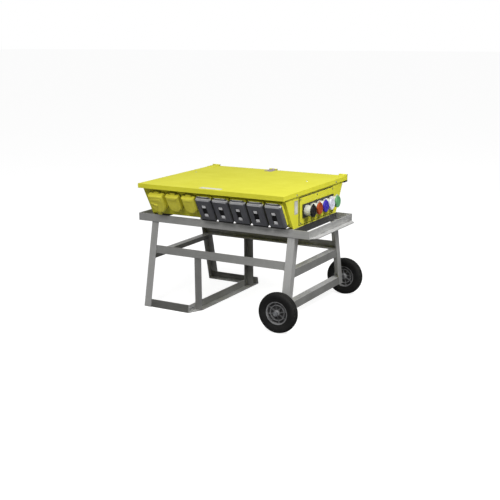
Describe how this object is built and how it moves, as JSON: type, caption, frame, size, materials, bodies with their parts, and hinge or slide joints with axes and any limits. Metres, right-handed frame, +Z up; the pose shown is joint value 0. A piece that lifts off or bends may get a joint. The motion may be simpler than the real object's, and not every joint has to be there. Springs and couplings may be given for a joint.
{
  "type": "portable power distribution box",
  "caption": "Power distribution box with hinged outlet covers and colour-coded single-pole inlets, on a two-wheeled angle-section cart.",
  "frame": {"origin": "middle of the footprint, on the ground the wheels and feet stand on", "axes": "+X along the length towards the wheels and the inlets, -Y the side with the outlet covers, +Z up"},
  "size_m": [1.343, 1.054, 0.8405],
  "materials": {
    "aluminium": "mill finish, brushed",
    "dark_steel": "satin black",
    "yellow_paint": "powder coat, satin",
    "yellow_moulding": "satin",
    "grey_moulding": "satin",
    "black_moulding": "satin",
    "grey_sleeve": "satin",
    "red_moulding": "satin",
    "blue_moulding": "satin",
    "white_moulding": "satin",
    "green_moulding": "satin",
    "rubber": "matt",
    "tyre": "matt",
    "rim_moulding": "satin",
    "steel": "zinc plated",
    "brass": "bright",
    "copper": "bright copper bar",
    "insulator": "satin",
    "label": "satin film"
  },
  "bodies": {
    "cart": {"tray_front_rail": "aluminium", "tray_back_rail": "aluminium", "tray_left_rail": "aluminium", "tray_right_rail": "aluminium", "tray_bearers": "dark_steel", "leg_front_left": "aluminium", "leg_back_left": "aluminium", "leg_front_right": "aluminium", "leg_back_right": "aluminium", "mid_side_rails": "aluminium", "mid_cross_rails": "aluminium", "foot_side_rails": "aluminium", "foot_cross_rail": "aluminium", "inner_legs": "aluminium", "foot_bolts": "steel", "axle_beam": "aluminium", "axle_blocks": "aluminium", "axle": "steel", "axle_spacers": "steel", "axle_collars": "steel", "box_shell": "yellow_paint", "end_plate_left": "yellow_paint", "end_plate_right": "yellow_paint", "bus_supports": "insulator", "bus_bars": "copper", "lid_gasket": "rubber", "hinge_brackets": "steel", "end_label": "label", "panel_gasket": "rubber", "inlet_panel": "yellow_paint", "panel_screws": "steel", "inlet_flanges": "black_moulding", "inlet_sleeves": "grey_sleeve", "inlet_contacts": "brass", "yellow_bases": "yellow_moulding", "locking_outlets": "black_moulding", "hinge_pins": "steel", "grey_bases": "yellow_paint", "duplex_outlets": "black_moulding"},
    "wheel_front": {"wheel_front_tyre": "tyre", "wheel_front_rim": "rim_moulding"},
    "wheel_back": {"wheel_back_tyre": "tyre", "wheel_back_rim": "rim_moulding"},
    "lid_body": {"lid": "yellow_paint", "hinge_leaves": "steel", "lid_rivets": "yellow_paint", "lid_label": "label"},
    "yellow_cover_1": {"yellow_lid_1": "yellow_moulding"},
    "yellow_cover_2": {"yellow_lid_2": "yellow_moulding"},
    "yellow_cover_3": {"yellow_lid_3": "yellow_moulding"},
    "grey_cover_1": {"grey_lid_1": "grey_moulding"},
    "grey_cover_2": {"grey_lid_2": "grey_moulding"},
    "grey_cover_3": {"grey_lid_3": "grey_moulding"},
    "grey_cover_4": {"grey_lid_4": "grey_moulding"},
    "grey_cover_5": {"grey_lid_5": "grey_moulding"},
    "inlet_cover_black": {"cap_black": "black_moulding"},
    "inlet_cover_red": {"cap_red": "red_moulding"},
    "inlet_cover_blue": {"cap_blue": "blue_moulding"},
    "inlet_cover_white": {"cap_white": "white_moulding"},
    "inlet_cover_green": {"cap_green": "green_moulding"}
  },
  "joints": [
    {"name": "wheel_front_spin", "type": "hinge", "parent": "cart", "child": "wheel_front", "pos_m": [0.513, -0.483, 0.127], "axis": [0, 1, 0], "continuous": true},
    {"name": "wheel_back_spin", "type": "hinge", "parent": "cart", "child": "wheel_back", "pos_m": [0.513, 0.483, 0.127], "axis": [0, 1, 0], "continuous": true},
    {"name": "lid_hinge", "type": "hinge", "parent": "cart", "child": "lid_body", "pos_m": [0, 0.455, 0.836], "axis": [-1, 0, 0], "range_deg": [0, 95]},
    {"name": "yellow_cover_1_hinge", "type": "hinge", "parent": "cart", "child": "yellow_cover_1", "pos_m": [-0.41604, -0.41146, 0.77624], "axis": [-1, 0, 0], "range_deg": [0, 100], "stiffness_Nm_per_rad": 0.1, "springref_deg": -114.59},
    {"name": "yellow_cover_2_hinge", "type": "hinge", "parent": "cart", "child": "yellow_cover_2", "pos_m": [-0.29105, -0.41146, 0.77624], "axis": [-1, 0, 0], "range_deg": [0, 100], "stiffness_Nm_per_rad": 0.1, "springref_deg": -114.59},
    {"name": "yellow_cover_3_hinge", "type": "hinge", "parent": "cart", "child": "yellow_cover_3", "pos_m": [-0.16903, -0.41146, 0.77624], "axis": [-1, 0, 0], "range_deg": [0, 100], "stiffness_Nm_per_rad": 0.1, "springref_deg": -114.59},
    {"name": "grey_cover_1_hinge", "type": "hinge", "parent": "cart", "child": "grey_cover_1", "pos_m": [-0.049, -0.42787, 0.77492], "axis": [-1, 0, 0], "range_deg": [0, 100], "stiffness_Nm_per_rad": 0.2, "springref_deg": -114.59},
    {"name": "grey_cover_2_hinge", "type": "hinge", "parent": "cart", "child": "grey_cover_2", "pos_m": [0.075, -0.42787, 0.77492], "axis": [-1, 0, 0], "range_deg": [0, 100], "stiffness_Nm_per_rad": 0.2, "springref_deg": -114.59},
    {"name": "grey_cover_3_hinge", "type": "hinge", "parent": "cart", "child": "grey_cover_3", "pos_m": [0.199, -0.42787, 0.77492], "axis": [-1, 0, 0], "range_deg": [0, 100], "stiffness_Nm_per_rad": 0.2, "springref_deg": -114.59},
    {"name": "grey_cover_4_hinge", "type": "hinge", "parent": "cart", "child": "grey_cover_4", "pos_m": [0.323, -0.42787, 0.77492], "axis": [-1, 0, 0], "range_deg": [0, 100], "stiffness_Nm_per_rad": 0.2, "springref_deg": -114.59},
    {"name": "grey_cover_5_hinge", "type": "hinge", "parent": "cart", "child": "grey_cover_5", "pos_m": [0.447, -0.42787, 0.77492], "axis": [-1, 0, 0], "range_deg": [0, 100], "stiffness_Nm_per_rad": 0.2, "springref_deg": -114.59},
    {"name": "inlet_cover_black_hinge", "type": "hinge", "parent": "cart", "child": "inlet_cover_black", "pos_m": [0.579, -0.155, 0.74208], "axis": [0, -1, 0], "range_deg": [0, 120]},
    {"name": "inlet_cover_red_hinge", "type": "hinge", "parent": "cart", "child": "inlet_cover_red", "pos_m": [0.579, -0.067, 0.74208], "axis": [0, -1, 0], "range_deg": [0, 120]},
    {"name": "inlet_cover_blue_hinge", "type": "hinge", "parent": "cart", "child": "inlet_cover_blue", "pos_m": [0.579, 0.021, 0.74208], "axis": [0, -1, 0], "range_deg": [0, 120]},
    {"name": "inlet_cover_white_hinge", "type": "hinge", "parent": "cart", "child": "inlet_cover_white", "pos_m": [0.579, 0.109, 0.74208], "axis": [0, -1, 0], "range_deg": [0, 120]},
    {"name": "inlet_cover_green_hinge", "type": "hinge", "parent": "cart", "child": "inlet_cover_green", "pos_m": [0.579, 0.197, 0.74208], "axis": [0, -1, 0], "range_deg": [0, 120]}
  ]
}
